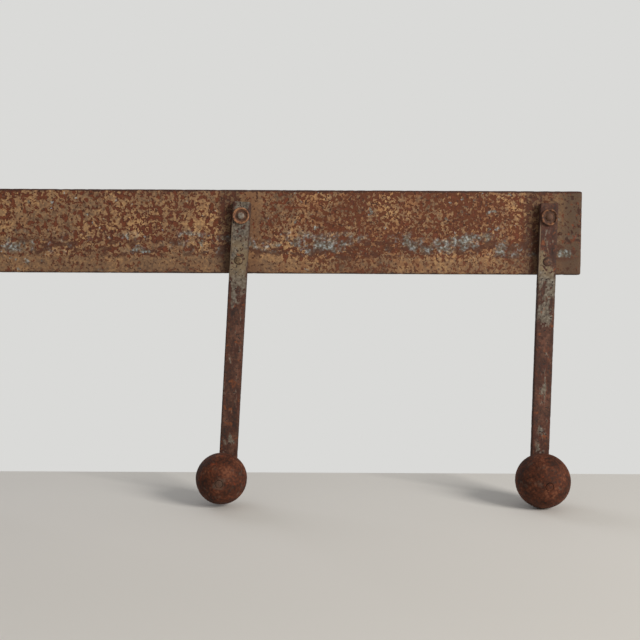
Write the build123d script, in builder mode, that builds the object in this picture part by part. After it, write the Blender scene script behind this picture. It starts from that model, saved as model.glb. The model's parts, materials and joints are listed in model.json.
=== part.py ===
"""Signal beam with four weighted arms.

A flat steel beam carries a row of flat-bar arms on its front. Each arm turns on a shouldered pivot pin
that is riveted flush into the beam's back, and ends in a round iron weight.

Millimetres, +Z up, front towards -Y, +X to the right. The origin is the middle of the beam's back face.
"""

from build123d import *
import math
import os

# The beam
BEAM_HEIGHT = 80.0
BEAM_THICKNESS = 10.0
BEAM_EDGE_RADIUS = 1.2
BEAM_CORNER_RADIUS = 1.5
END_MARGIN = 33.5

# The row of arms
ARM_PITCH = 291.0
PIVOT_BELOW_TOP = 25.5

# How far each arm leans from plumb where it has seized, its ball towards -X, from left to right
HANG_ANGLES = (2.4, 2.0, 3.1, 1.1)

# The arm straps
STRAP_WIDTH = 17.5
STRAP_THICKNESS = 6.0
STRAP_EDGE_RADIUS = 0.8
STRAP_CORNER_RADIUS = 2.0
STRAP_ABOVE_PIVOT = 13.5
STRAP_BELOW_BALL = 12.0
PIVOT_TO_BALL = 246.0
PIVOT_TO_DRIVE_RIVET = 42.0

# The ball weights, one diameter for each arm from left to right
BALL_DIAMETERS = (50.0, 49.0, 48.0, 51.0)
BALL_SEAT_DEPTH = 1.5
BALL_OFF_CENTRE = 3.0

# The pivots
JOURNAL_DIAMETER = 8.0
PIN_NECK_DIAMETER = 6.0
PIN_HEAD_DIAMETER = 7.6
PIN_HEAD_HEIGHT = 2.0
PIN_TAIL_DIAMETER = 10.0
PIN_TAIL_DEPTH = 2.0
SPACER_DIAMETER = 15.0
SPACER_THICKNESS = 1.5
DISH_DIAMETER = 16.0
DISH_HEIGHT = 2.4
DISH_FLOOR = 1.0
DISH_RIM_WIDTH = 1.9
DISH_RIM_RADIUS = 0.7

# The rivets
BALL_RIVET_DIAMETER = 7.0
BALL_RIVET_HEAD_DIAMETER = 12.0
BALL_RIVET_HEAD_HEIGHT = 3.0
BALL_RIVET_END_HEIGHT = 0.6
DRIVE_RIVET_DIAMETER = 6.0
DRIVE_RIVET_HEAD_DIAMETER = 9.5
DRIVE_RIVET_HEAD_HEIGHT = 1.6
DRIVE_RIVET_TAIL_DIAMETER = 9.0
DRIVE_RIVET_TAIL_DEPTH = 1.5

# Clearances
RUNNING_CLEARANCE = 0.08
SIDE_PLAY = 0.1
FIXED_CLEARANCE = 0.05

# Places worked out from the sizes above
ARM_COUNT = len(BALL_DIAMETERS)
BEAM_LENGTH = (ARM_COUNT - 1) * ARM_PITCH + 2 * END_MARGIN
PIVOT_Z = BEAM_HEIGHT / 2 - PIVOT_BELOW_TOP
BEAM_FRONT_Y = -BEAM_THICKNESS
SPACER_FRONT_Y = BEAM_FRONT_Y - SPACER_THICKNESS
STRAP_BACK_Y = SPACER_FRONT_Y - SIDE_PLAY
STRAP_FRONT_Y = STRAP_BACK_Y - STRAP_THICKNESS
DISH_BACK_Y = STRAP_FRONT_Y - SIDE_PLAY
PIN_HEAD_BACK_Y = DISH_BACK_Y - DISH_FLOOR
DRIVE_TAIL_Y = STRAP_BACK_Y - DRIVE_RIVET_TAIL_DEPTH


def arm_plane(pivot_x, hang_angle, distance=0.0, y=0.0):
    """A front-facing plane on an arm's centre line, its own +Y running up the arm."""
    lean = math.radians(hang_angle)
    place = (pivot_x - distance * math.sin(lean), y, PIVOT_Z - distance * math.cos(lean))
    return Plane(origin=place, x_dir=(math.cos(lean), 0, -math.sin(lean)), z_dir=(0, -1, 0))


def ball_plane(pivot_x, hang_angle, y=0.0):
    """The front-facing plane at an arm's ball, which sits a little off the strap's centre line."""
    on_centre_line = arm_plane(pivot_x, hang_angle, PIVOT_TO_BALL, y)
    return Plane(
        origin=on_centre_line.origin - on_centre_line.x_dir * BALL_OFF_CENTRE,
        x_dir=on_centre_line.x_dir,
        z_dir=on_centre_line.z_dir,
    )


def turning_plane(place):
    """A plane through a fastener's centre line: its own X is the radius, its own Y is the model's Y."""
    return Plane(origin=(place.X, 0, place.Z))


def turning_axis(place):
    """The centre line that a fastener or a ball is turned about."""
    return Axis((place.X, 0, place.Z), (0, 1, 0))


def countersink_angle(inner_diameter, outer_diameter, depth):
    """The full angle of a cone that opens from one diameter to the other over this depth."""
    return 2 * math.degrees(math.atan((outer_diameter - inner_diameter) / 2 / depth))


def export_piece(piece, name):
    """Label a finished piece and write it as a STEP file of the same name."""
    piece.part.label = name
    export_step(piece.part, f"parts/{name}.step")


def make_beam(pivots):
    """The flat bar, with rolled edges and a hole for each pivot pin, countersunk at the back."""
    with BuildPart() as beam:
        with BuildSketch(Plane(origin=(0, 0, 0), x_dir=(1, 0, 0), z_dir=(0, -1, 0))):
            RectangleRounded(BEAM_LENGTH, BEAM_HEIGHT, BEAM_CORNER_RADIUS)
        extrude(amount=BEAM_THICKNESS)
        fillet(beam.faces().sort_by(Axis.Y)[0].edges(), BEAM_EDGE_RADIUS)
        with Locations(*[Plane(origin=(p.X, 0, p.Z), x_dir=(1, 0, 0), z_dir=(0, 1, 0)) for p in pivots]):
            CounterSinkHole(
                radius=PIN_NECK_DIAMETER / 2 + FIXED_CLEARANCE,
                counter_sink_radius=PIN_TAIL_DIAMETER / 2 + FIXED_CLEARANCE,
                depth=BEAM_THICKNESS,
                counter_sink_angle=countersink_angle(PIN_NECK_DIAMETER, PIN_TAIL_DIAMETER, PIN_TAIL_DEPTH),
            )
    return beam


def make_pivot_pin(place):
    """A shouldered pin: journal for the strap, necks at both ends, domed head, tail riveted flush."""
    head_radius = PIN_HEAD_DIAMETER / 2
    neck_radius = PIN_NECK_DIAMETER / 2
    journal_radius = JOURNAL_DIAMETER / 2
    crown = (0, PIN_HEAD_BACK_Y - PIN_HEAD_HEIGHT)
    with BuildPart() as pin:
        with BuildSketch(turning_plane(place)):
            with BuildLine():
                Polyline(
                    crown,
                    (0, 0),
                    (PIN_TAIL_DIAMETER / 2, 0),
                    (neck_radius, -PIN_TAIL_DEPTH),
                    (neck_radius, SPACER_FRONT_Y),
                    (journal_radius, SPACER_FRONT_Y),
                    (journal_radius, DISH_BACK_Y),
                    (neck_radius, DISH_BACK_Y),
                    (neck_radius, PIN_HEAD_BACK_Y),
                    (head_radius, PIN_HEAD_BACK_Y),
                )
                TangentArc(crown, (head_radius, PIN_HEAD_BACK_Y), tangent=(1, 0))
            make_face()
        revolve(axis=turning_axis(place))
    return pin


def make_spacer_washer(place):
    """The flat washer that holds the strap off the beam, clamped under the journal's shoulder."""
    with BuildPart() as spacer:
        with BuildSketch(Plane(origin=(place.X, BEAM_FRONT_Y, place.Z), z_dir=(0, -1, 0))):
            Circle(SPACER_DIAMETER / 2)
            Circle(PIN_NECK_DIAMETER / 2 + FIXED_CLEARANCE, mode=Mode.SUBTRACT)
        extrude(amount=SPACER_THICKNESS)
    return spacer


def make_dished_washer(place):
    """The cup washer in front of the strap: a thin floor inside a raised, rounded rim."""
    with BuildPart() as dish:
        with BuildSketch(Plane(origin=(place.X, DISH_BACK_Y, place.Z), z_dir=(0, -1, 0))):
            Circle(DISH_DIAMETER / 2)
        extrude(amount=DISH_HEIGHT)
        with Locations(Plane(origin=(place.X, DISH_BACK_Y - DISH_HEIGHT, place.Z), z_dir=(0, -1, 0))):
            CounterBoreHole(
                radius=PIN_NECK_DIAMETER / 2 + FIXED_CLEARANCE,
                counter_bore_radius=DISH_DIAMETER / 2 - DISH_RIM_WIDTH,
                counter_bore_depth=DISH_HEIGHT - DISH_FLOOR,
                depth=DISH_HEIGHT,
            )
        fillet(dish.faces().sort_by(Axis.Y)[0].edges(), DISH_RIM_RADIUS)
    return dish


def make_arm_strap(pivot_x, hang_angle):
    """The flat bar of one arm, with its pivot bore and its two rivet holes."""
    length = STRAP_ABOVE_PIVOT + PIVOT_TO_BALL + STRAP_BELOW_BALL
    with BuildPart() as strap:
        with BuildSketch(arm_plane(pivot_x, hang_angle, y=STRAP_BACK_Y)):
            with Locations((0, STRAP_ABOVE_PIVOT - length / 2)):
                RectangleRounded(STRAP_WIDTH, length, STRAP_CORNER_RADIUS)
        extrude(amount=STRAP_THICKNESS)
        broad_faces = strap.faces().filter_by(Axis.Y)
        fillet(broad_faces.edges(), STRAP_EDGE_RADIUS)
        with Locations(arm_plane(pivot_x, hang_angle, y=STRAP_FRONT_Y)):
            Hole(radius=JOURNAL_DIAMETER / 2 + RUNNING_CLEARANCE, depth=STRAP_THICKNESS)
        with Locations(ball_plane(pivot_x, hang_angle, STRAP_FRONT_Y)):
            Hole(radius=BALL_RIVET_DIAMETER / 2 + FIXED_CLEARANCE, depth=STRAP_THICKNESS)
        rivet = arm_plane(pivot_x, hang_angle, PIVOT_TO_DRIVE_RIVET, STRAP_BACK_Y)
        with Locations(Plane(origin=rivet.origin, x_dir=rivet.x_dir, z_dir=(0, 1, 0))):
            CounterSinkHole(
                radius=DRIVE_RIVET_DIAMETER / 2 + FIXED_CLEARANCE,
                counter_sink_radius=DRIVE_RIVET_TAIL_DIAMETER / 2 + FIXED_CLEARANCE,
                depth=STRAP_THICKNESS,
                counter_sink_angle=countersink_angle(
                    DRIVE_RIVET_DIAMETER, DRIVE_RIVET_TAIL_DIAMETER, DRIVE_RIVET_TAIL_DEPTH
                ),
            )
    return strap


def make_drive_rivet(place):
    """The rivet below the pivot: a low dome in front, its tail riveted flush into the strap's back."""
    shank_radius = DRIVE_RIVET_DIAMETER / 2
    head_radius = DRIVE_RIVET_HEAD_DIAMETER / 2
    crown = (0, STRAP_FRONT_Y - DRIVE_RIVET_HEAD_HEIGHT)
    with BuildPart() as rivet:
        with BuildSketch(turning_plane(place)):
            with BuildLine():
                Polyline(
                    crown,
                    (0, STRAP_BACK_Y),
                    (DRIVE_RIVET_TAIL_DIAMETER / 2, STRAP_BACK_Y),
                    (shank_radius, DRIVE_TAIL_Y),
                    (shank_radius, STRAP_FRONT_Y),
                    (head_radius, STRAP_FRONT_Y),
                )
                TangentArc(crown, (head_radius, STRAP_FRONT_Y), tangent=(1, 0))
            make_face()
        revolve(axis=turning_axis(place))
    return rivet


def ball_surface_y(diameter, radius):
    """Where the front of a ball seated on the strap stands at this radius from its centre line."""
    centre_y = STRAP_FRONT_Y - (diameter / 2 - BALL_SEAT_DEPTH)
    return centre_y - math.sqrt((diameter / 2) ** 2 - radius**2)


def make_ball_weight(place, diameter):
    """The round weight, flattened where it seats on the strap and bored for its rivet."""
    ball_radius = diameter / 2
    centre_y = STRAP_FRONT_Y - (ball_radius - BALL_SEAT_DEPTH)
    seat_radius = math.sqrt(ball_radius**2 - (ball_radius - BALL_SEAT_DEPTH) ** 2)
    bore_radius = BALL_RIVET_DIAMETER / 2 + FIXED_CLEARANCE
    bore_mouth = (bore_radius, ball_surface_y(diameter, bore_radius))
    with BuildPart() as ball:
        with BuildSketch(turning_plane(place)):
            with BuildLine():
                Polyline(bore_mouth, (bore_radius, STRAP_FRONT_Y), (seat_radius, STRAP_FRONT_Y))
                ThreePointArc((seat_radius, STRAP_FRONT_Y), (ball_radius, centre_y), bore_mouth)
            make_face()
        revolve(axis=turning_axis(place))
    return ball


def make_ball_rivet(place, diameter):
    """The rivet through strap and ball: a snap head behind the strap, its end hammered over in front."""
    shank_radius = BALL_RIVET_DIAMETER / 2
    head_radius = BALL_RIVET_HEAD_DIAMETER / 2
    head_crown = (0, STRAP_BACK_Y + BALL_RIVET_HEAD_HEIGHT)
    end_y = ball_surface_y(diameter, shank_radius)
    end_crown = (0, end_y - BALL_RIVET_END_HEIGHT)
    with BuildPart() as rivet:
        with BuildSketch(turning_plane(place)):
            with BuildLine():
                Line(end_crown, head_crown)
                TangentArc(head_crown, (head_radius, STRAP_BACK_Y), tangent=(1, 0))
                Polyline((head_radius, STRAP_BACK_Y), (shank_radius, STRAP_BACK_Y), (shank_radius, end_y))
                TangentArc(end_crown, (shank_radius, end_y), tangent=(1, 0))
            make_face()
        revolve(axis=turning_axis(place))
    return rivet


os.makedirs("parts", exist_ok=True)

pivot_xs = [(i - (ARM_COUNT - 1) / 2) * ARM_PITCH for i in range(ARM_COUNT)]
pivots = [Vector(x, 0, PIVOT_Z) for x in pivot_xs]

export_piece(make_beam(pivots), "beam")

arms = zip(pivots, HANG_ANGLES, BALL_DIAMETERS)
for number, (pivot, hang_angle, ball_diameter) in enumerate(arms, start=1):
    ball_place = ball_plane(pivot.X, hang_angle).origin
    drive_place = arm_plane(pivot.X, hang_angle, PIVOT_TO_DRIVE_RIVET).origin
    export_piece(make_pivot_pin(pivot), f"pivot_pin_{number}")
    export_piece(make_spacer_washer(pivot), f"spacer_washer_{number}")
    export_piece(make_dished_washer(pivot), f"dished_washer_{number}")
    export_piece(make_arm_strap(pivot.X, hang_angle), f"arm_strap_{number}")
    export_piece(make_drive_rivet(drive_place), f"drive_rivet_{number}")
    export_piece(make_ball_weight(ball_place, ball_diameter), f"ball_weight_{number}")
    export_piece(make_ball_rivet(ball_place, ball_diameter), f"ball_rivet_{number}")
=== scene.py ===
import json
import math

import bmesh
import bpy
from mathutils import Matrix, Vector, noise


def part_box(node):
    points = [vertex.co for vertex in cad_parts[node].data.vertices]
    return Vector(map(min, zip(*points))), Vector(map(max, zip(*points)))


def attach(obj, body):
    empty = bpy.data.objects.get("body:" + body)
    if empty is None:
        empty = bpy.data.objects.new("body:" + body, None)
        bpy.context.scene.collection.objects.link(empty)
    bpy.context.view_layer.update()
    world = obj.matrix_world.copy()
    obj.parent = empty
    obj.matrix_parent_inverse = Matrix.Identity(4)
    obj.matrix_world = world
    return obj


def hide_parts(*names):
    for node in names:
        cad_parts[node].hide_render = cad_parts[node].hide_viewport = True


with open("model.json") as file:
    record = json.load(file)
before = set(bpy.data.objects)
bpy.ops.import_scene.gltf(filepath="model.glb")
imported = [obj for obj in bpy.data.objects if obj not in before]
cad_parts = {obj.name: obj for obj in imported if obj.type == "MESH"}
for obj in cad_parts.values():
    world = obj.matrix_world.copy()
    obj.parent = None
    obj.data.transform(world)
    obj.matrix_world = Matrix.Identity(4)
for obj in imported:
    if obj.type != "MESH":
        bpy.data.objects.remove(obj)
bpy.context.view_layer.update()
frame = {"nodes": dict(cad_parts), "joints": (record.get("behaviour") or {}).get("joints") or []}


# ---------------------------------------------------------------------------------------------------
# The room: a pale floor that the largest ball just touches, a large soft light to the right and in front,
# a weaker one behind on the left, and a camera square to the beam's right half.

ARM_NUMBERS = (1, 2, 3, 4)


def linear(hex_colour):
    """An sRGB hex colour as linear RGBA."""
    channels = [int(hex_colour[i : i + 2], 16) / 255 for i in (1, 3, 5)]
    return tuple(c / 12.92 if c <= 0.04045 else ((c + 0.055) / 1.055) ** 2.4 for c in channels) + (1.0,)


def join(tree, node, inputs):
    """Give a node its inputs, by name or number, as values, hex colours or links from other nodes."""
    sockets = [s for s in node.inputs if s.enabled]
    for name, value in inputs.items():
        socket = sockets[name] if isinstance(name, int) else next(s for s in sockets if s.name == name)
        if isinstance(value, bpy.types.Node):
            tree.links.new(next(s for s in value.outputs if s.enabled), socket)
        elif isinstance(value, bpy.types.NodeSocket):
            tree.links.new(value, socket)
        else:
            socket.default_value = linear(value) if isinstance(value, str) else value


def add_node(tree, kind, inputs=None, stops=None, **settings):
    """Add a node with its settings, its ramp's stops if it has one, and its inputs."""
    node = tree.nodes.new(kind)
    for name, value in settings.items():
        setattr(node, name, value)
    for index, (position, colour) in enumerate(stops or []):
        ramp = node.color_ramp.elements
        stop = ramp[index] if index < 2 else ramp.new(position)
        stop.position = position
        stop.color = linear(colour)
    join(tree, node, inputs or {})
    return node


def new_material(name):
    """An empty material: its node tree with only a shader joined to the output, and that shader."""
    material = bpy.data.materials.new(name)
    material.use_nodes = True
    tree = material.node_tree
    tree.nodes.clear()
    shader = add_node(tree, "ShaderNodeBsdfPrincipled")
    add_node(tree, "ShaderNodeOutputMaterial", {"Surface": shader})
    return material, tree, shader


CAMERA_LEFT_OF_LAST_PIVOT = 0.216
CAMERA_IN_FRONT_OF_BEAM = 0.851
CAMERA_BELOW_PIVOT = 0.054
CAMERA_LOOKS_DOWN = math.radians(3.0)
CAMERA_ROLL = math.radians(0.27)
CAMERA_LENS = 50.0
CAMERA_SENSOR_WIDTH = 36.0

pivots = {}
for number in ARM_NUMBERS:
    joint = next(j for j in frame["joints"] if j["child"] == f"arm_{number}")
    pivots[number] = Vector(joint["pos_m"])
beam_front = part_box("beam")[0].y
camera_data = bpy.data.cameras.new("camera")
camera_data.lens = CAMERA_LENS
camera_data.sensor_width = CAMERA_SENSOR_WIDTH
camera = bpy.data.objects.new("camera", camera_data)
camera.location = (
    pivots[4].x - CAMERA_LEFT_OF_LAST_PIVOT,
    beam_front - CAMERA_IN_FRONT_OF_BEAM,
    pivots[4].z - CAMERA_BELOW_PIVOT,
)
looking = Matrix.Rotation(math.pi / 2 - CAMERA_LOOKS_DOWN, 4, "X") @ Matrix.Rotation(CAMERA_ROLL, 4, "Z")
camera.rotation_euler = looking.to_euler()
bpy.context.scene.collection.objects.link(camera)
bpy.context.scene.camera = camera

FLOOR_HALF_WIDTH = 2.5
FLOOR_FRONT = -2.5
FLOOR_BACK = 0.1
floor_height = min(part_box(f"ball_weight_{n}")[0].z for n in ARM_NUMBERS)
floor_mesh = bpy.data.meshes.new("floor")
bm = bmesh.new()
bmesh.ops.create_grid(bm, x_segments=1, y_segments=1, size=1.0)
bmesh.ops.scale(bm, vec=(FLOOR_HALF_WIDTH, (FLOOR_BACK - FLOOR_FRONT) / 2, 1), verts=bm.verts)
bmesh.ops.translate(bm, vec=(0, (FLOOR_BACK + FLOOR_FRONT) / 2, floor_height), verts=bm.verts)
bm.to_mesh(floor_mesh)
bm.free()
floor = bpy.data.objects.new("floor", floor_mesh)
bpy.context.scene.collection.objects.link(floor)

# Flat floor paint: pale, a little warm and quite dull, so that it shows soft shadows and no shine.
floor_paint, tree, shader = new_material("floor_paint")
join(tree, shader, {"Base Color": "#dddbd7", "Roughness": 0.7})
floor_mesh.materials.append(floor_paint)

# The camera sees a plain pale wall all round, which lights the room less than it looks bright.
WALL_BRIGHTNESS = 1.0
WALL_LIGHTING = 0.36
world = bpy.data.worlds.new("room")
world.use_nodes = True
tree = world.node_tree
tree.nodes.clear()
seen = add_node(tree, "ShaderNodeBackground", {"Color": "#dadad8", "Strength": WALL_BRIGHTNESS})
shining = add_node(tree, "ShaderNodeBackground", {"Color": "#f6f4f0", "Strength": WALL_LIGHTING})
path = add_node(tree, "ShaderNodeLightPath")
both = add_node(tree, "ShaderNodeMixShader", {0: path.outputs["Is Camera Ray"], 1: shining, 2: seen})
add_node(tree, "ShaderNodeOutputWorld", {"Surface": both})
bpy.context.scene.world = world
bpy.context.scene.view_settings.view_transform = "Standard"


def add_light(name, place, target, size, power, colour):
    """A square soft light at a place, turned to face a target."""
    data = bpy.data.lights.new(name, "AREA")
    data.shape = "SQUARE"
    data.size = size
    data.energy = power
    data.color = linear(colour)[:3]
    light = bpy.data.objects.new(name, data)
    light.location = place
    light.rotation_euler = (Vector(target) - Vector(place)).to_track_quat("-Z", "Y").to_euler()
    bpy.context.scene.collection.objects.link(light)


right_half = (0.22, beam_front, -0.05)
add_light("key_light", (2.05, -1.7, 0.95), right_half, size=1.0, power=65, colour="#fffaf3")
add_light("back_light", (-1.6, 1.9, 1.2), right_half, size=1.4, power=14, colour="#f4f6ff")


# ---------------------------------------------------------------------------------------------------
# The beam: a flat bar of rolled steel, 10 mm thick, with one countersunk hole for each pivot pin. It was
# painted ochre and has stood outdoors, so the paint is eaten by rust spots and the skin is uneven.

MM = 0.001
BEAM_FACET = 1.5 * MM


def worn_copy(node, name, facet, eased, wear):
    """A CAD piece copied in small even facets, its corners eased and its skin worn, never past its box."""
    mesh = frame["nodes"][node].data.copy()
    bm = bmesh.new()
    bm.from_mesh(mesh)
    bmesh.ops.remove_doubles(bm, verts=bm.verts, dist=1e-6)
    bm.to_mesh(mesh)
    bm.free()
    mesh.materials.clear()
    solid = bpy.data.objects.new(name + "_solid", mesh)
    bpy.context.scene.collection.objects.link(solid)
    facets = solid.modifiers.new("facets", "REMESH")
    facets.mode = "VOXEL"
    facets.voxel_size = facet
    worn_mesh = bpy.data.meshes.new_from_object(solid.evaluated_get(bpy.context.evaluated_depsgraph_get()))
    bpy.data.objects.remove(solid)
    worn_mesh.name = name
    bm = bmesh.new()
    bm.from_mesh(worn_mesh)
    for _ in range(eased):
        bmesh.ops.smooth_vert(
            bm, verts=bm.verts, factor=0.5, use_axis_x=True, use_axis_y=True, use_axis_z=True
        )
    bm.normal_update()
    low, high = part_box(node)
    for vertex in bm.verts:
        worn = vertex.co - vertex.normal * wear(vertex.co)
        vertex.co = [min(max(here, least), most) for here, least, most in zip(worn, low, high)]
    for face in bm.faces:
        face.smooth = True
    bm.to_mesh(worn_mesh)
    bm.free()
    piece = bpy.data.objects.new(name, worn_mesh)
    bpy.context.scene.collection.objects.link(piece)
    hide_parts(node)
    return piece


PIT_RIM = 0.05
PIT_STEEPNESS = 1.6


def pitting(place, broad, broad_depth, pit, pit_depth):
    """How far the skin has worn in at a place: slow unevenness of one size, and pits of another."""
    slow = 0.5 + 0.5 * noise.noise(place / broad)
    sharp = max(0.0, noise.noise(place / pit) - PIT_RIM)
    return broad_depth * min(1.0, max(0.0, slow)) + pit_depth * min(1.0, PIT_STEEPNESS * sharp)


def in_millimetres(tree, stretch=(1, 1, 1)):
    """The object's own coordinates in millimetres; a stretch of 3 draws a pattern out three times."""
    own = add_node(tree, "ShaderNodeTexCoord").outputs["Object"]
    return add_node(tree, "ShaderNodeMapping", {"Vector": own, "Scale": tuple(1000 / s for s in stretch)})


# Most values of a noise texture lie within this much of each other, which turns a cover to a threshold.
SPREAD_OF_NOISE = 0.36


def patches(tree, place, size, cover, edge=0.02, detail=3.0, ragged=0.6, more=None):
    """A mask of ragged patches about this many millimetres across, over this share of the surface."""
    field = add_node(
        tree,
        "ShaderNodeTexNoise",
        {"Vector": place, "Scale": 1 / size, "Detail": detail, "Roughness": 0.6, "Distortion": ragged},
    )
    threshold = 0.5 + SPREAD_OF_NOISE * (0.5 - cover)
    if more:
        field = add_node(
            tree, "ShaderNodeMath", {0: more, 1: SPREAD_OF_NOISE, 2: field}, operation="MULTIPLY_ADD"
        )
    limits = {"Value": field, "From Min": threshold - edge / 2, "From Max": threshold + edge / 2}
    return add_node(tree, "ShaderNodeMapRange", limits)


def band(tree, value, low, high, soft):
    """1 while a value lies between low and high, falling to 0 over a soft margin outside them."""
    rise = add_node(tree, "ShaderNodeMapRange", {"Value": value, "From Min": low - soft, "From Max": low})
    fall = {"Value": value, "From Min": high, "From Max": high + soft, "To Min": 1.0, "To Max": 0.0}
    fall = add_node(tree, "ShaderNodeMapRange", fall)
    return add_node(tree, "ShaderNodeMath", {0: rise, 1: fall}, operation="MULTIPLY")


def laid_over(tree, under, mask, over, share=1.0):
    """One colour laid over another where a mask is 1, no thicker than a share that lets the first show."""
    amount = add_node(tree, "ShaderNodeMapRange", {"Value": mask, "To Max": share})
    return add_node(tree, "ShaderNodeMix", {"Factor": amount, "A": under, "B": over}, data_type="RGBA")


def beam_wear(place):
    """The beam's skin is up to 0.5 mm down: gentle hollows, and pits under the rust spots."""
    return 0.05 * MM + pitting(place, 30 * MM, 0.15 * MM, 5 * MM, 0.3 * MM)


beam_bar = worn_copy("beam", "beam_bar", BEAM_FACET, eased=2, wear=beam_wear)
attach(beam_bar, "beam")

# Rusted ochre oil paint on hot-rolled steel gives the eye dull tan paint, sharp-edged maroon rust spots
# with orange rims, a streaky band of bare blue-grey metal and dark rust below the pivots, and smoother
# paint under it. Real rust grain is under half a millimetre, and is drawn at 2.2 mm so that it shows.
beam_paint, tree, shader = new_material("rusted_ochre_paint")
place = in_millimetres(tree)
where = add_node(tree, "ShaderNodeSeparateXYZ", {"Vector": place})
across, up = where.outputs["X"], where.outputs["Z"]
pivots_across = {n: 1000 * pivots[n].x for n in ARM_NUMBERS}

# How wide each thing on the bar is, in millimetres.
PAINT_CLOUDS = 34
RUST_GRAIN = 2.2
ORANGE_PATCHES = 13
RUST_CROWDS = 42
RUST_SPOTS = 5.0
FINE_SPOTS = 3.2
SPECKS = 2.6
RUST_MOTTLE = 5
END_DOTS = 6.5
STREAK_WAVES = 40
STREAKS = 5.5
FLECK_CLUSTERS = 16
FLECKS = 7.0
STRAY_FLECKS = 8.0
SCRATCHES = 2.6
EDGE_WAVES = 7
CALM_WIDTH = 9
SCRAPE_WIDTH = 11
STAIN_WIDTH = 14

# Where each band lies, in millimetres along the bar or up from its middle.
LAST_BAY = (215, 400)
STREAKY_HEIGHT = (-16, -4)
FLECKED_HEIGHT = (-12, 2)
SCRAPED_HEIGHT = (-22, -17)

# Beside each arm the bar was sheltered and is a smooth orange-brown. Its end is a dull dark brown.
end_limits = {"From Min": pivots_across[4] - 4, "From Max": pivots_across[4] + 20}
end = add_node(tree, "ShaderNodeMapRange", {"Value": across, **end_limits})
calm = end
for number in (1, 2, 3):
    start = pivots_across[number] + 4
    beside = band(tree, across, start, start + CALM_WIDTH, soft=8)
    calm = add_node(tree, "ShaderNodeMath", {0: calm, 1: beside}, operation="MAXIMUM")

cloud = add_node(tree, "ShaderNodeTexNoise", {"Vector": place, "Scale": 1 / PAINT_CLOUDS, "Detail": 2.0})
grain = add_node(tree, "ShaderNodeTexNoise", {"Vector": place, "Scale": 1 / RUST_GRAIN, "Detail": 4.0})
tone = add_node(tree, "ShaderNodeMath", {0: grain, 1: 1.3, 2: cloud}, operation="MULTIPLY_ADD")
tone = add_node(tree, "ShaderNodeMapRange", {"Value": tone, "From Min": 0.84, "From Max": 1.46})
paint = add_node(
    tree,
    "ShaderNodeValToRGB",
    {"Fac": tone},
    stops=[(0.0, "#5a4636"), (0.35, "#7a5f47"), (0.7, "#907050"), (1.0, "#ac885f")],
)
middle = band(tree, across, *LAST_BAY, soft=50)
orange_patch = patches(tree, place, ORANGE_PATCHES, 0.38, edge=0.12, detail=4.0, ragged=0.3)
orange_share = add_node(tree, "ShaderNodeMapRange", {"Value": middle, "To Min": 0.12, "To Max": 0.45})
orange = add_node(tree, "ShaderNodeMath", {0: orange_patch, 1: orange_share}, operation="MULTIPLY")
paint = laid_over(tree, paint, orange, "#8c5731")
paint = laid_over(tree, paint, calm, "#6f4b33", share=0.55)
paint = laid_over(tree, paint, end, "#493b2f", share=0.82)

# Rust spots 2 to 6 mm across crowd together in clumps. There are fewer along the foot and where the bar
# was sheltered, and more in the last bay, half way between its arms.
density = add_node(tree, "ShaderNodeTexNoise", {"Vector": place, "Scale": 1 / RUST_CROWDS, "Detail": 2.0})
crowd_limits = {"From Min": 0.36, "From Max": 0.64, "To Min": -0.08, "To Max": 0.08}
crowding = add_node(tree, "ShaderNodeMapRange", {"Value": density, **crowd_limits})
for addition in (
    {"Value": up, "From Min": -26, "From Max": -19, "To Min": -0.19, "To Max": 0.0},
    {"Value": calm, "To Max": -0.26},
    {"Value": middle, "To Max": 0.04},
):
    added = add_node(tree, "ShaderNodeMapRange", addition)
    crowding = add_node(tree, "ShaderNodeMath", {0: crowding, 1: added}, operation="ADD")
spots = patches(tree, place, RUST_SPOTS, 0.42, edge=0.015, detail=3.0, ragged=0.2, more=crowding)
halo = patches(tree, place, RUST_SPOTS, 0.48, edge=0.03, detail=3.0, ragged=0.2, more=crowding)
fine_crowding = add_node(
    tree, "ShaderNodeMath", {0: middle, 1: 0.22, 2: crowding}, operation="MULTIPLY_ADD"
)
fine_spots = patches(
    tree, place, FINE_SPOTS, 0.23, edge=0.015, detail=2.0, ragged=0.2, more=fine_crowding
)
specks = patches(tree, place, SPECKS, 0.12, edge=0.02, detail=1.0, ragged=0.0)

mottle = add_node(tree, "ShaderNodeTexNoise", {"Vector": place, "Scale": 1 / RUST_MOTTLE, "Detail": 4.0})
mottle = add_node(tree, "ShaderNodeMapRange", {"Value": mottle, "From Min": 0.34, "From Max": 0.66})
rust = add_node(
    tree,
    "ShaderNodeValToRGB",
    {"Fac": mottle},
    stops=[(0.0, "#33201a"), (0.5, "#4e281c"), (1.0, "#6a3923")],
)
colour = laid_over(tree, paint, halo, "#804a2b", share=0.3)
colour = laid_over(tree, colour, spots, rust)
colour = laid_over(tree, colour, fine_spots, "#5d341e")
colour = laid_over(tree, colour, specks, "#472a1d")
end_dots = patches(tree, place, END_DOTS, 0.22, edge=0.02, detail=2.0, ragged=0.2)
end_dots = add_node(tree, "ShaderNodeMath", {0: end_dots, 1: end}, operation="MULTIPLY")
colour = laid_over(tree, colour, end_dots, "#3c2419")

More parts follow.
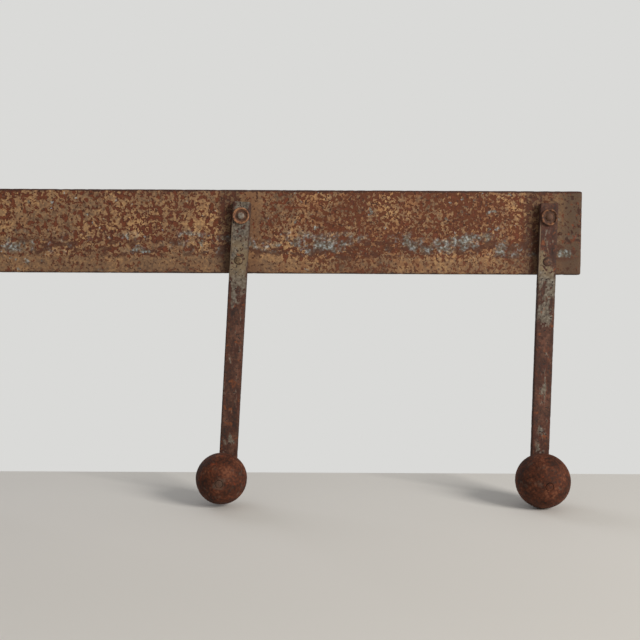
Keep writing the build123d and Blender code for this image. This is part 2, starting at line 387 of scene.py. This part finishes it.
# The streaky band below the pivots: dark rust drawn out along the bar, then flecks of bare grey metal.
drawn_out = in_millimetres(tree, stretch=(2.2, 1, 1))
waver = add_node(tree, "ShaderNodeTexNoise", {"Vector": place, "Scale": 1 / STREAK_WAVES, "Detail": 2.0})
lifted = add_node(tree, "ShaderNodeMath", {0: waver, 1: 12.0, 2: up}, operation="MULTIPLY_ADD")
streak_band = band(tree, lifted, *STREAKY_HEIGHT, soft=4)
streaks = patches(tree, drawn_out, STREAKS, 0.46, edge=0.05, detail=4.0, ragged=0.2)
streaks = add_node(tree, "ShaderNodeMath", {0: streaks, 1: streak_band}, operation="MULTIPLY")
colour = laid_over(tree, colour, streaks, "#4d2f22", share=0.85)
clusters = add_node(
    tree, "ShaderNodeTexNoise", {"Vector": drawn_out, "Scale": 1 / FLECK_CLUSTERS, "Detail": 1.0}
)
cluster_limits = {"From Min": 0.42, "From Max": 0.66, "To Min": -0.34, "To Max": 0.26}
clustering = add_node(tree, "ShaderNodeMapRange", {"Value": clusters, **cluster_limits})
fleck_band = band(tree, lifted, *FLECKED_HEIGHT, soft=5)
flecks = patches(tree, place, FLECKS, 0.30, edge=0.20, detail=5.0, ragged=0.2, more=clustering)
flecks = add_node(tree, "ShaderNodeMath", {0: flecks, 1: fleck_band}, operation="MULTIPLY")
stray_flecks = patches(tree, place, STRAY_FLECKS, 0.018, edge=0.05, detail=3.0, ragged=0.2)
flecks = add_node(tree, "ShaderNodeMath", {0: flecks, 1: stray_flecks}, operation="MAXIMUM")
not_end = add_node(tree, "ShaderNodeMapRange", {"Value": end, "From Min": 0.3, "To Min": 1.0, "To Max": 0.1})
flecks = add_node(tree, "ShaderNodeMath", {0: flecks, 1: not_end}, operation="MULTIPLY")

# A scrape right of the last arm has laid the metal bare.
scrape_start = pivots_across[4] + 12
scrape_across = band(tree, across, scrape_start, scrape_start + SCRAPE_WIDTH, soft=3)
scrape_up = band(tree, up, *SCRAPED_HEIGHT, soft=3)
scrape = add_node(tree, "ShaderNodeMath", {0: scrape_across, 1: scrape_up}, operation="MULTIPLY")
scratched = add_node(tree, "ShaderNodeMapRange", {"Value": scrape, "To Min": -0.8, "To Max": 0.5})
scrape = patches(tree, place, SCRATCHES, 0.35, edge=0.12, detail=3.0, ragged=0.2, more=scratched)
flecks = add_node(tree, "ShaderNodeMath", {0: flecks, 1: scrape}, operation="MAXIMUM")
glint = add_node(tree, "ShaderNodeMapRange", {"Value": grain, "From Min": 0.36, "From Max": 0.66})
bare_metal = add_node(
    tree,
    "ShaderNodeValToRGB",
    {"Fac": glint},
    stops=[(0.0, "#463c33"), (0.4, "#646258"), (0.7, "#7d8380"), (1.0, "#a9b3b6")],
)
colour = laid_over(tree, colour, flecks, bare_metal, share=0.75)

# The top edge is dark and uneven. Painted shade darkens the paint along the foot, and an uneven line of
# painted shade runs along the bottom edge.
edge_waver = add_node(tree, "ShaderNodeTexNoise", {"Vector": place, "Scale": 1 / EDGE_WAVES, "Detail": 3.0})
edge_up = add_node(tree, "ShaderNodeMath", {0: edge_waver, 1: 5.0, 2: up}, operation="MULTIPLY_ADD")
top_strip = add_node(tree, "ShaderNodeMapRange", {"Value": edge_up, "From Min": 39.8, "From Max": 41.0})
colour = laid_over(tree, colour, top_strip, "#3f261d")
# Along the left side of each arm the beam is darkened: partly a dark rust stain, and partly painted shadow
# that deepens the shadow each arm casts on the beam.
for number in ARM_NUMBERS:
    start = pivots_across[number] - 19
    beside = band(tree, across, start, start + STAIN_WIDTH, soft=5)
    colour = laid_over(tree, colour, beside, "#38271f", share=0.45)
# Painted shade: the bar darkens towards its foot, and a dark uneven line of painted shade lies along its
# bottom edge.
foot_shade_limits = {"From Min": -30, "From Max": -22, "To Min": 0.3, "To Max": 0.0}
foot = add_node(tree, "ShaderNodeMapRange", {"Value": up, **foot_shade_limits})
colour = laid_over(tree, colour, foot, "#5a4030")
bottom_edge_shade_limits = {"From Min": -37.2, "From Max": -36.0, "To Min": 1.0, "To Max": 0.0}
bottom_edge_shade = add_node(tree, "ShaderNodeMapRange", {"Value": edge_up, **bottom_edge_shade_limits})
colour = laid_over(tree, colour, bottom_edge_shade, "#3c2d24")

dullness = {"From Min": 0.3, "From Max": 0.7, "To Min": 0.72, "To Max": 0.9}
roughness = add_node(tree, "ShaderNodeMapRange", {"Value": grain, **dullness})
relief = add_node(tree, "ShaderNodeMath", {0: spots, 1: -0.6, 2: grain}, operation="MULTIPLY_ADD")
bump = add_node(tree, "ShaderNodeBump", {"Height": relief, "Distance": 0.3 * MM, "Strength": 0.8})
join(tree, shader, {"Base Color": colour, "Roughness": roughness, "Normal": bump, "Specular IOR Level": 0.3})
beam_bar.data.materials.append(beam_paint)


# ---------------------------------------------------------------------------------------------------
# The arms: lengths of 17.5 x 6 mm flat bar, sheared off and punched for the pivot and two rivets. Their
# edges are worn round. Paint holds on where they lie against the beam, and in patches lower down.

BAR_FACET = 0.6 * MM
# How wide the bar and each thing on it is, how far apart the arms' patterns are taken, and between which
# heights from the pivot lie the tan paint and the pale edge line (partly rubbed paint, partly painted
# highlight), all in millimetres.
BAR_WIDTH = 17.5
BAR_GRAIN = 2.4
BAR_SCALE = 9
RED_PATCHES = 8
TAN_PATCHES = 9
KEPT_PATCHES = 8
RUST_DOTS = 5.0
PINHOLES = 2.6
ORANGE_GLOWS = 7
PATTERN_STEP = 131
TAN_HEIGHT = (-50, -30)
WORN_AND_HIGHLIGHT_HEIGHT = (-54, -12)


def middle_of(node):
    """The middle of a CAD piece's box."""
    low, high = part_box(node)
    return (low + high) / 2


def lean_of(number):
    """How far an arm hangs from plumb, as the angle that turns its own axes upright."""
    rivet = middle_of(f"drive_rivet_{number}")
    return math.atan2(pivots[number].x - rivet.x, pivots[number].z - rivet.z)


def along_arm(tree, number, stretch=1.0):
    """Millimetres from an arm's pivot: X across the bar, Z up it. A stretch draws patterns out along it."""
    own = add_node(tree, "ShaderNodeTexCoord").outputs["Object"]
    centred = add_node(tree, "ShaderNodeMapping", {"Vector": own, "Location": tuple(-pivots[number])})
    return add_node(
        tree,
        "ShaderNodeMapping",
        {"Vector": centred, "Rotation": (0, -lean_of(number), 0), "Scale": (1000, 1000, 1000 / stretch)},
    )


def bar_wear(place):
    """An arm's skin is up to a quarter of a millimetre down, in scabs a few millimetres long."""
    return 0.04 * MM + pitting(place, 20 * MM, 0.06 * MM, 3.5 * MM, 0.16 * MM)


def rusted_bar_paint(number, kept_from, kept_to, kept_inside, kept_outside):
    """Rusted flat bar with some paint, most of it kept between two heights from the arm's pivot."""
    # Rusted rolled steel under old grey-green paint gives the eye dark brown scale with red patches, dull
    # grey and tan paint with a broken edge, black pinholes, dark corners and one thin pale line down the left
    # edge, partly rubbed paint and partly painted highlight.
    material, tree, shader = new_material(f"rusted_flat_bar_{number}")
    place = along_arm(tree, number)
    drawn = along_arm(tree, number, stretch=2.4)
    where = add_node(tree, "ShaderNodeSeparateXYZ", {"Vector": place})
    side, up = where.outputs["X"], where.outputs["Z"]
    # Each arm takes its patterns from another place, so that no two arms look alike.
    step = (PATTERN_STEP * number, 0, 0)
    place = add_node(tree, "ShaderNodeVectorMath", {0: place, 1: step}, operation="ADD")
    drawn = add_node(tree, "ShaderNodeVectorMath", {0: drawn, 1: step}, operation="ADD")

    grain = add_node(tree, "ShaderNodeTexNoise", {"Vector": place, "Scale": 1 / BAR_GRAIN, "Detail": 4.0})
    scale = add_node(tree, "ShaderNodeTexNoise", {"Vector": drawn, "Scale": 1 / BAR_SCALE, "Detail": 4.0})
    tone = add_node(tree, "ShaderNodeMath", {0: grain, 1: 0.8, 2: scale}, operation="MULTIPLY_ADD")
    tone = add_node(tree, "ShaderNodeMapRange", {"Value": tone, "From Min": 0.66, "From Max": 1.14})
    rust = add_node(
        tree,
        "ShaderNodeValToRGB",
        {"Fac": tone},
        stops=[(0.0, "#2f1f1a"), (0.45, "#452b21"), (0.75, "#54382b"), (1.0, "#664638")],
    )
    red = patches(tree, drawn, RED_PATCHES, 0.4, edge=0.14, detail=3.0, ragged=0.2)
    rust = laid_over(tree, rust, red, "#612e1e", share=0.55)

    paint_tone = add_node(tree, "ShaderNodeMapRange", {"Value": grain, "From Min": 0.34, "From Max": 0.68})
    paint = add_node(
        tree,
        "ShaderNodeValToRGB",
        {"Fac": paint_tone},
        stops=[(0.0, "#433c36"), (0.5, "#625c53"), (1.0, "#817c72")],
    )
    tan_patch = patches(tree, place, TAN_PATCHES, 0.7, edge=0.2, detail=3.0, ragged=0.2)
    tan_height = band(tree, up, *TAN_HEIGHT, soft=10)
    tan_height = add_node(tree, "ShaderNodeMapRange", {"Value": tan_height, "To Min": 0.15, "To Max": 0.7})
    tan = add_node(tree, "ShaderNodeMath", {0: tan_patch, 1: tan_height}, operation="MULTIPLY")
    paint = laid_over(tree, paint, tan, "#806d50")

    # Paint keeps best between the two heights, and away from the bar's corners.
    held = band(tree, up, kept_from, kept_to, soft=20)
    kept_limits = {"To Min": kept_outside - 0.5, "To Max": kept_inside - 0.5}
    keeping = add_node(tree, "ShaderNodeMapRange", {"Value": held, **kept_limits})
    inside = band(tree, side, -0.28 * BAR_WIDTH, 0.28 * BAR_WIDTH, soft=0.2 * BAR_WIDTH)
    near_edge = add_node(tree, "ShaderNodeMapRange", {"Value": inside, "To Min": -0.3, "To Max": 0.0})
    keeping = add_node(tree, "ShaderNodeMath", {0: keeping, 1: near_edge}, operation="ADD")
    kept = patches(tree, drawn, KEPT_PATCHES, 0.5, edge=0.07, detail=4.0, ragged=0.2, more=keeping)
    colour = laid_over(tree, rust, kept, paint, share=0.92)

    dots = patches(tree, place, RUST_DOTS, 0.18, edge=0.02, detail=2.0, ragged=0.2)
    colour = laid_over(tree, colour, dots, "#43271d")
    pinholes = patches(tree, place, PINHOLES, 0.09, edge=0.02, detail=1.0, ragged=0.0)
    colour = laid_over(tree, colour, pinholes, "#2f2420")
    glow = patches(tree, place, ORANGE_GLOWS, 0.01, edge=0.10, detail=2.0, ragged=0.2)
    colour = laid_over(tree, colour, glow, "#7d4524", share=0.7)
    from_middle = add_node(tree, "ShaderNodeMath", {0: side}, operation="ABSOLUTE")
    edge_limits = {"From Min": 0.38 * BAR_WIDTH, "From Max": 0.49 * BAR_WIDTH, "To Max": 0.75}
    edges = add_node(tree, "ShaderNodeMapRange", {"Value": from_middle, **edge_limits})
    colour = laid_over(tree, colour, edges, "#3c2820")
    # A thin pale line down the left front edge where the arm crosses the beam: partly paint rubbed bare,
    # partly a painted highlight.
    worn_and_highlight_side = band(tree, side, -0.46 * BAR_WIDTH, -0.43 * BAR_WIDTH, soft=0.3)
    worn_and_highlight_height = band(tree, up, *WORN_AND_HIGHLIGHT_HEIGHT, soft=10)
    rubbed = add_node(tree, "ShaderNodeMath", {0: worn_and_highlight_side, 1: worn_and_highlight_height}, operation="MULTIPLY")
    colour = laid_over(tree, colour, rubbed, "#92816b", share=0.6)

    dullness = {"From Min": 0.3, "From Max": 0.7, "To Min": 0.7, "To Max": 0.88}
    roughness = add_node(tree, "ShaderNodeMapRange", {"Value": grain, **dullness})
    relief = add_node(tree, "ShaderNodeMath", {0: kept, 1: 0.5, 2: grain}, operation="MULTIPLY_ADD")
    bump = add_node(tree, "ShaderNodeBump", {"Height": relief, "Distance": 0.3 * MM, "Strength": 0.8})
    look = {"Base Color": colour, "Roughness": roughness, "Normal": bump, "Specular IOR Level": 0.35}
    join(tree, shader, look)
    return material


# For each arm, the heights in millimetres between which most paint is kept, and the share of the bar that
# it covers inside and outside them.
kept_paint = {
    1: (-60, 20, 0.62, 0.28),
    2: (-45, 20, 0.75, 0.34),
    3: (-56, 20, 0.9, 0.34),
    4: (-90, -52, 0.76, 0.28),
}
for number in ARM_NUMBERS:
    flat_bar = worn_copy(
        f"arm_strap_{number}",
        f"flat_bar_{number}",
        BAR_FACET,
        eased=7,
        wear=bar_wear,
    )
    flat_bar.data.materials.append(rusted_bar_paint(number, *kept_paint[number]))
    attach(flat_bar, f"arm_{number}")


# ---------------------------------------------------------------------------------------------------
# The pivots: a turned steel pin through each arm and the beam, with a plain washer behind the arm and a
# pressed cup washer in front, under a domed head. The washers rust bright orange, and the head wears grey.

FASTENER_FACET = 0.3 * MM
# How wide the rust's grain and scabs are, and the radius of the pin's head and the cup's floor, in mm.
FASTENER_GRAIN = 2.0
FASTENER_SCABS = 4.5
HEAD_RADIUS = 3.8
CUP_FLOOR_RADIUS = 5.4


def fine_wear(place):
    """A fastener's skin is up to a quarter of a millimetre down, finely pitted."""
    return 0.07 * MM + pitting(place, 4 * MM, 0.06 * MM, 1.2 * MM, 0.1 * MM)


def cup_wear(place):
    """The cup washers have rusted unevenly, by up to 0.6 mm, so that their rims are broken."""
    return 0.03 * MM + pitting(place, 7 * MM, 0.2 * MM, 3 * MM, 0.35 * MM)


def fastener_rust(name, centre, rust, seam=None, crown=None, eaten=0.05):
    """Rusted steel in three shades, with a dark seam between two radii and a crown out to another."""
    # Rusted turned or pressed steel gives the eye a mottled brown to orange skin, dark scabs where it is
    # eaten, a dark line of dirt in each corner, and a smooth paler crown where hands and rain wear it.
    material, tree, shader = new_material(name)
    own = add_node(tree, "ShaderNodeTexCoord").outputs["Object"]
    to_centre = {"Location": tuple(-1000 * c for c in centre), "Scale": (1000, 1000, 1000)}
    place = add_node(tree, "ShaderNodeMapping", {"Vector": own, **to_centre})
    flat = add_node(tree, "ShaderNodeVectorMath", {0: place, 1: (1, 0, 1)}, operation="MULTIPLY")
    radius = add_node(tree, "ShaderNodeVectorMath", {0: flat}, operation="LENGTH").outputs["Value"]
    # A step that grows along the beam, so that no two fasteners look alike.
    step = (990 * centre.x, 0, 0)
    place = add_node(tree, "ShaderNodeVectorMath", {0: place, 1: step}, operation="ADD")
    grain = add_node(
        tree, "ShaderNodeTexNoise", {"Vector": place, "Scale": 1 / FASTENER_GRAIN, "Detail": 4.0}
    )
    shade = add_node(tree, "ShaderNodeMapRange", {"Value": grain, "From Min": 0.34, "From Max": 0.66})
    colour = add_node(tree, "ShaderNodeValToRGB", {"Fac": shade}, stops=list(zip((0.0, 0.5, 1.0), rust)))
    if seam:
        low, high = seam
        colour = laid_over(tree, colour, band(tree, radius, low, high, soft=0.5), "#3a241a", share=0.8)
    if crown:
        reach, crown_colour = crown
        top_limits = {"From Min": reach - 1.2, "From Max": reach - 0.2, "To Min": 0.9, "To Max": 0.0}
        top = add_node(tree, "ShaderNodeMapRange", {"Value": radius, **top_limits})
        rub_limits = {"From Min": 0.36, "From Max": 0.56, "To Min": 0.35, "To Max": 1.0}
        rubbed = add_node(tree, "ShaderNodeMapRange", {"Value": grain, **rub_limits})
        worn = add_node(tree, "ShaderNodeMath", {0: top, 1: rubbed}, operation="MULTIPLY")
        colour = laid_over(tree, colour, worn, crown_colour)
    scabs = patches(tree, place, FASTENER_SCABS, eaten, edge=0.08, detail=3.0, ragged=0.2)
    colour = laid_over(tree, colour, scabs, "#3f281d", share=0.85)
    bump = add_node(tree, "ShaderNodeBump", {"Height": grain, "Distance": 0.2 * MM, "Strength": 0.7})
    join(tree, shader, {"Base Color": colour, "Normal": bump, "Roughness": 0.75, "Specular IOR Level": 0.4})
    return material


# Each fastener's rust runs from a dark shade through a middle one to a bright one.
PIN_RUST = ("#4a2f21", "#6b4a33", "#8a6042")
PLAIN_WASHER_RUST = ("#3c261b", "#563624", "#744a2e")
crown_colours = {1: "#6a6258", 2: "#757065", 3: "#7f7c73", 4: "#4c3428"}
cup_rust = {
    1: ("#503426", "#734e38", "#8d6a50"),
    2: ("#533526", "#7b543a", "#986f50"),
    3: ("#563524", "#83583c", "#a57a57"),
    4: ("#46291d", "#6b442b", "#8a5d3b"),
}
cup_eaten = {1: 0.3, 2: 0.25, 3: 0.22, 4: 0.42}
for number in ARM_NUMBERS:
    centre = pivots[number]
    hinge_pin = worn_copy(
        f"pivot_pin_{number}",
        f"hinge_pin_{number}",
        FASTENER_FACET,
        eased=2,
        wear=fine_wear,
    )
    crown = (HEAD_RADIUS, crown_colours[number])
    pin_rust = fastener_rust(f"worn_pin_head_{number}", centre, PIN_RUST, crown=crown)
    hinge_pin.data.materials.append(pin_rust)
    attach(hinge_pin, "beam")
    cup_washer = worn_copy(
        f"dished_washer_{number}",
        f"cup_washer_{number}",
        FASTENER_FACET,
        eased=1,
        wear=cup_wear,
    )
    orange_rust = fastener_rust(
        f"orange_rusted_cup_{number}",
        centre,
        cup_rust[number],
        seam=(HEAD_RADIUS, CUP_FLOOR_RADIUS),
        eaten=cup_eaten[number],
    )
    cup_washer.data.materials.append(orange_rust)
    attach(cup_washer, "beam")
    spacer = frame["nodes"][f"spacer_washer_{number}"]
    spacer.data.materials.clear()
    spacer.data.materials.append(
        fastener_rust(f"rusted_plain_washer_{number}", centre, PLAIN_WASHER_RUST)
    )


# ---------------------------------------------------------------------------------------------------
# The drive rivets: 6 mm steel rivets set cold through each arm below its pivot, with a low hammered head
# in front. They once held a rod, and have rusted to the colour of the paint round them.

# The radii in millimetres between which dirt lies round a rivet's head.
RIVET_SEAM = (3.7, 5.0)
rivet_rust = {
    1: ("#3f2a1f", "#594231", "#755b44"),
    2: ("#44301f", "#5f4a36", "#7c664a"),
    3: ("#43321f", "#635037", "#7d694c"),
    4: ("#30211b", "#4a3429", "#6e4830"),
}
for number in ARM_NUMBERS:
    centre = middle_of(f"drive_rivet_{number}")
    stud = worn_copy(
        f"drive_rivet_{number}",
        f"stud_rivet_{number}",
        FASTENER_FACET,
        eased=2,
        wear=fine_wear,
    )
    stud.data.materials.append(
        fastener_rust(f"hammered_rivet_{number}", centre, rivet_rust[number], seam=RIVET_SEAM)
    )
    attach(stud, f"arm_{number}")


# ---------------------------------------------------------------------------------------------------
# The balance weights: round iron castings about 50 mm across, bored a little off their middle and held
# to the arm by a 7 mm rivet that is hammered flush in front. Weight and rivet have rusted together.

WEIGHT_FACET = 0.6 * MM
WEIGHT_RIVET_FACET = 0.35 * MM
BORE_MOUTH = 4 * MM
# How wide each thing on a casting is, in millimetres.
CASTING_GRAIN = 2.4
CASTING_CLOUDS = 13
ORANGE_SPECKS = 4.5
GREY_PATCHES = 7


def casting_wear(bore):
    """How a casting's skin has worn, by up to 0.5 mm with sand pits, but not at the mouth of its bore."""

    def wear(place):
        from_bore = math.hypot(place.x - bore.x, place.z - bore.z)
        fade = min(1.0, max(0.0, (from_bore - BORE_MOUTH) / BORE_MOUTH))
        return 0.03 * MM + fade * pitting(place, 14 * MM, 0.25 * MM, 2.6 * MM, 0.22 * MM)

    return wear


def rusted_casting(number, orange_cover, rubbed):
    """Rusted iron with orange specks over a share of it, and as much grey at the rivet as it's rubbed."""
    # Rusted sand-cast iron gives the eye a dark red-brown skin, finely mottled and quite dull, with small
    # orange specks, and a grey patch where the rivet's end is rubbed.
    material, tree, shader = new_material(f"rusted_cast_iron_{number}")
    place = in_millimetres(tree)
    grain = add_node(tree, "ShaderNodeTexNoise", {"Vector": place, "Scale": 1 / CASTING_GRAIN, "Detail": 4.0})
    cloud = add_node(
        tree, "ShaderNodeTexNoise", {"Vector": place, "Scale": 1 / CASTING_CLOUDS, "Detail": 2.0}
    )
    tone = add_node(tree, "ShaderNodeMath", {0: grain, 1: 1.2, 2: cloud}, operation="MULTIPLY_ADD")
    shade = add_node(tree, "ShaderNodeMapRange", {"Value": tone, "From Min": 0.84, "From Max": 1.38})
    colour = add_node(
        tree,
        "ShaderNodeValToRGB",
        {"Fac": shade},
        stops=[(0.0, "#2f1a11"), (0.4, "#452416"), (0.75, "#562e1d"), (1.0, "#6b412d")],
    )
    orange = patches(tree, place, ORANGE_SPECKS, orange_cover, edge=0.06, detail=3.0, ragged=0.2)
    colour = laid_over(tree, colour, orange, "#7b351a", share=0.5)

    to_rivet = tuple(-1000 * c for c in middle_of(f"ball_rivet_{number}"))
    from_rivet = add_node(tree, "ShaderNodeVectorMath", {0: place, 1: to_rivet}, operation="ADD")
    from_rivet = add_node(tree, "ShaderNodeVectorMath", {0: from_rivet, 1: (1, 0, 1)}, operation="MULTIPLY")
    distance = add_node(tree, "ShaderNodeVectorMath", {0: from_rivet}, operation="LENGTH").outputs["Value"]
    rub_limits = {"From Min": 3, "From Max": 8, "To Min": rubbed, "To Max": 0.0}
    near_rivet = add_node(tree, "ShaderNodeMapRange", {"Value": distance, **rub_limits})
    grey = patches(tree, place, GREY_PATCHES, 0.12, edge=0.10, detail=4.0, ragged=0.2, more=near_rivet)
    colour = laid_over(tree, colour, grey, "#58473c", share=0.55)

    dullness = {"From Min": 0.3, "From Max": 0.7, "To Min": 0.65, "To Max": 0.88}
    roughness = add_node(tree, "ShaderNodeMapRange", {"Value": grain, **dullness})
    bump = add_node(tree, "ShaderNodeBump", {"Height": tone, "Distance": 0.5 * MM, "Strength": 0.8})
    look = {"Base Color": colour, "Roughness": roughness, "Normal": bump, "Specular IOR Level": 0.2}
    join(tree, shader, look)
    return material


# For each weight, the share of it that orange specks cover, and how far its rivet's end is rubbed grey.
casting_looks = {1: (0.05, 0.2), 2: (0.06, 0.3), 3: (0.10, 0.6), 4: (0.03, 0.0)}
for number in ARM_NUMBERS:
    rusted_iron = rusted_casting(number, *casting_looks[number])
    weight = worn_copy(
        f"ball_weight_{number}",
        f"round_weight_{number}",
        WEIGHT_FACET,
        eased=1,
        wear=casting_wear(middle_of(f"ball_rivet_{number}")),
    )
    weight.data.materials.append(rusted_iron)
    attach(weight, f"arm_{number}")
    rivet = worn_copy(
        f"ball_rivet_{number}",
        f"weight_rivet_{number}",
        WEIGHT_RIVET_FACET,
        eased=1,
        wear=fine_wear,
    )
    rivet.data.materials.append(rusted_iron)
    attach(rivet, f"arm_{number}")
